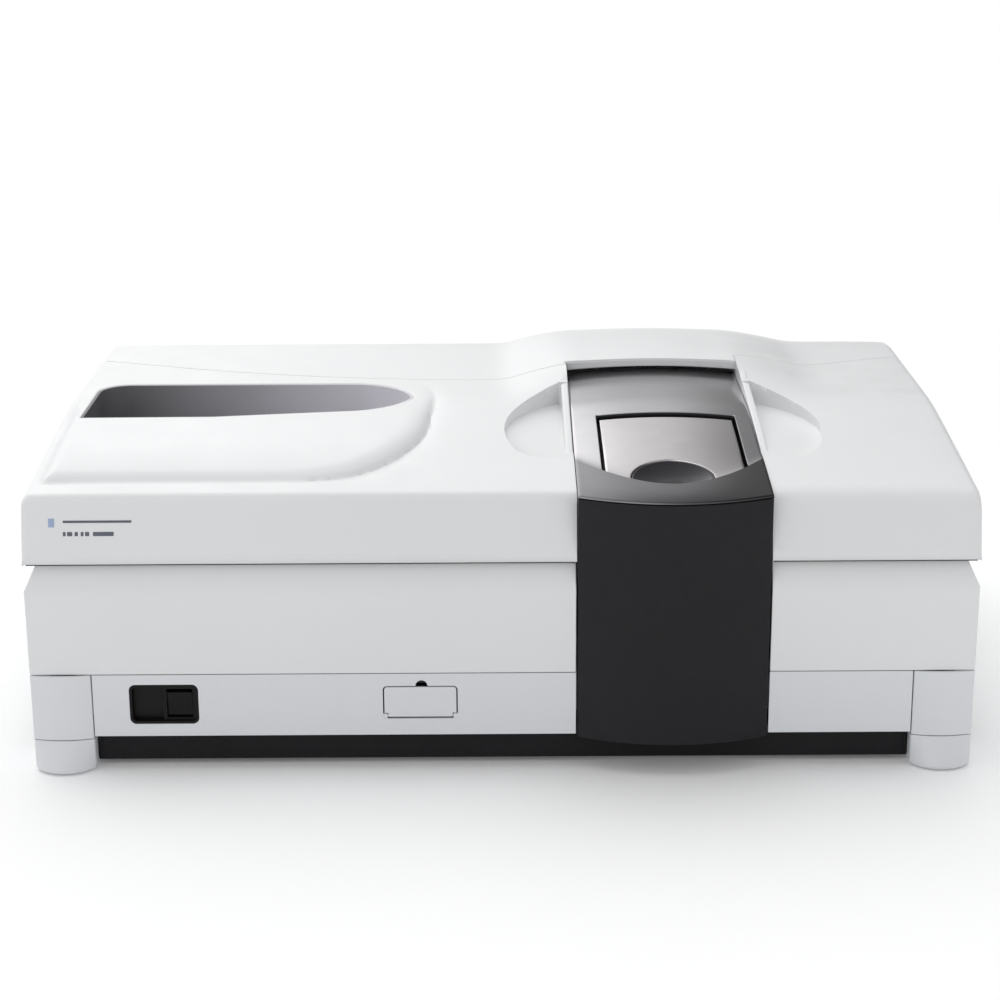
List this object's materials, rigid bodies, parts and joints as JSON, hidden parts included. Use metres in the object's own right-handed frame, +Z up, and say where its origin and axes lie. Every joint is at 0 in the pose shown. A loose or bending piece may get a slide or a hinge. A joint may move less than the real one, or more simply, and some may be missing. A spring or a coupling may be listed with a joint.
{
  "type": "double-beam spectrophotometer",
  "caption": "Wide low bench instrument: moulded lift-off covers, bowed dark sample-bay panel, sliding crowned lid with finger cup, recessed top tray, optics on a cast base.",
  "frame": {"origin": "on the bench, under the middle of the bounding box", "axes": "+X to the right seen from the front, +Y to the rear, +Z up; the front faces -Y"},
  "size_m": [1.02, 0.655, 0.3617],
  "materials": {
    "shell_white": "fine satin texture",
    "panel_white": "fine satin texture",
    "charcoal": "fine matt texture",
    "lid_silver": "metallic satin",
    "inset_silver": "metallic satin",
    "cup_dark": "gloss",
    "tray_grey": "matt",
    "plinth_black": "powder coat",
    "rubber": "matt",
    "cast_aluminium": "as cast",
    "sheet_steel": "zinc plated",
    "rear_grey": "powder coat",
    "black_metal": "matt black",
    "optic_mirror": "polished",
    "clear_glass": "polished",
    "circuit_green": "solder mask",
    "switch_black": "gloss",
    "mark_grey": "printed",
    "cable_black": "sheathed",
    "screw_steel": "plated"
  },
  "bodies": {
    "base": {"base_casting": "cast_aluminium", "plinth_skirt": "plinth_black", "corner_pods": "panel_white", "feet": "panel_white", "foot_pads": "rubber", "lower_housing_left": "shell_white", "lower_housing_right": "shell_white", "lower_front_panel_left": "panel_white", "lower_front_panel_right": "panel_white", "side_panels": "panel_white", "rear_panel": "rear_grey", "panel_screws": "screw_steel", "rear_top_cover": "shell_white", "lid_rails": "sheet_steel", "cover_catches": "black_metal", "rear_frame": "sheet_steel", "switch_bezel": "switch_black", "flap_well": "black_metal", "flap_pin": "screw_steel", "bay_liner": "black_metal", "bay_windows": "clear_glass", "cell_holder": "black_metal", "cuvettes": "clear_glass", "monochromator_housing": "cast_aluminium", "monochromator_cover": "black_metal", "turret_drives": "black_metal", "collimating_mirrors": "optic_mirror", "slit_plates": "black_metal", "lamp_housing": "sheet_steel", "deuterium_lamp": "clear_glass", "tungsten_lamp": "clear_glass", "wheel_motors": "sheet_steel", "beam_mirrors": "optic_mirror", "detector_housing": "black_metal", "photomultiplier": "black_metal", "infrared_detector": "sheet_steel", "power_supply": "sheet_steel", "control_board": "circuit_green", "fan_frames": "switch_black", "rear_sockets": "switch_black", "cable_harness": "cable_black"},
    "flap": {"access_flap": "panel_white"},
    "left_cover": {"left_cover": "shell_white", "tray_liner": "tray_grey", "badge_marks": "mark_grey"},
    "right_cover": {"right_cover": "shell_white"},
    "bay_front": {"bay_front_panel": "charcoal"},
    "lid": {"lid": "lid_silver", "lid_inset": "inset_silver", "finger_cup": "cup_dark"},
    "rocker": {"power_rocker": "switch_black"},
    "fan_left": {"fan_rotor_left": "switch_black"},
    "fan_right": {"fan_rotor_right": "switch_black"},
    "source_mirror": {"source_mirror": "optic_mirror"},
    "turret_a": {"grating_turret_a": "black_metal", "grating_a": "optic_mirror"},
    "turret_b": {"grating_turret_b": "black_metal", "grating_b": "optic_mirror"},
    "chopper": {"chopper_disc": "black_metal"},
    "filter_wheel": {"filter_wheel": "black_metal"}
  },
  "joints": [
    {"name": "access_flap", "type": "hinge", "parent": "base", "child": "flap", "pos_m": [-0.089, -0.3007, 0.062], "axis": [1, 0, 0], "range_deg": [0, 95]},
    {"name": "cover_left_lift", "type": "slide", "parent": "base", "child": "left_cover", "axis": [0, 0, 1], "range_m": [0, 0.12]},
    {"name": "cover_right_lift", "type": "slide", "parent": "base", "child": "right_cover", "axis": [0, 0, 1], "range_m": [0, 0.12]},
    {"name": "front_panel_pull", "type": "slide", "parent": "base", "child": "bay_front", "axis": [0, -1, 0], "range_m": [0, 0.08]},
    {"name": "lid_slide", "type": "slide", "parent": "base", "child": "lid", "axis": [0, 1, 0], "range_m": [0, 0.18]},
    {"name": "power_rocker", "type": "hinge", "parent": "base", "child": "rocker", "pos_m": [-0.35, -0.2895, 0.0765], "axis": [1, 0, 0], "range_deg": [-16, 0]},
    {"name": "rear_fan_left_spin", "type": "hinge", "parent": "base", "child": "fan_left", "pos_m": [-0.33, 0.3105, 0.16], "axis": [0, 1, 0], "continuous": true},
    {"name": "rear_fan_right_spin", "type": "hinge", "parent": "base", "child": "fan_right", "pos_m": [0.385, 0.3105, 0.16], "axis": [0, 1, 0], "continuous": true},
    {"name": "source_mirror_turn", "type": "hinge", "parent": "base", "child": "source_mirror", "pos_m": [-0.385, -0.1075, 0.15], "axis": [0, 0, 1], "range_deg": [-45, 45]},
    {"name": "turret_a_turn", "type": "hinge", "parent": "base", "child": "turret_a", "pos_m": [-0.335, 0.2175, 0.11], "axis": [0, 0, 1], "range_deg": [-28, 28]},
    {"name": "turret_b_turn", "type": "hinge", "parent": "base", "child": "turret_b", "pos_m": [-0.15, 0.2175, 0.11], "axis": [0, 0, 1], "range_deg": [-28, 28]},
    {"name": "wheel_chopper_spin", "type": "hinge", "parent": "base", "child": "chopper", "pos_m": [0.015, -0.1825, 0.15], "axis": [1, 0, 0], "continuous": true},
    {"name": "wheel_filter_turn", "type": "hinge", "parent": "base", "child": "filter_wheel", "pos_m": [-0.198, -0.1225, 0.14], "axis": [1, 0, 0], "continuous": true}
  ],
  "couplings": [
    {"joint": "turret_b_turn", "follows": "turret_a_turn", "ratio": 1}
  ]
}
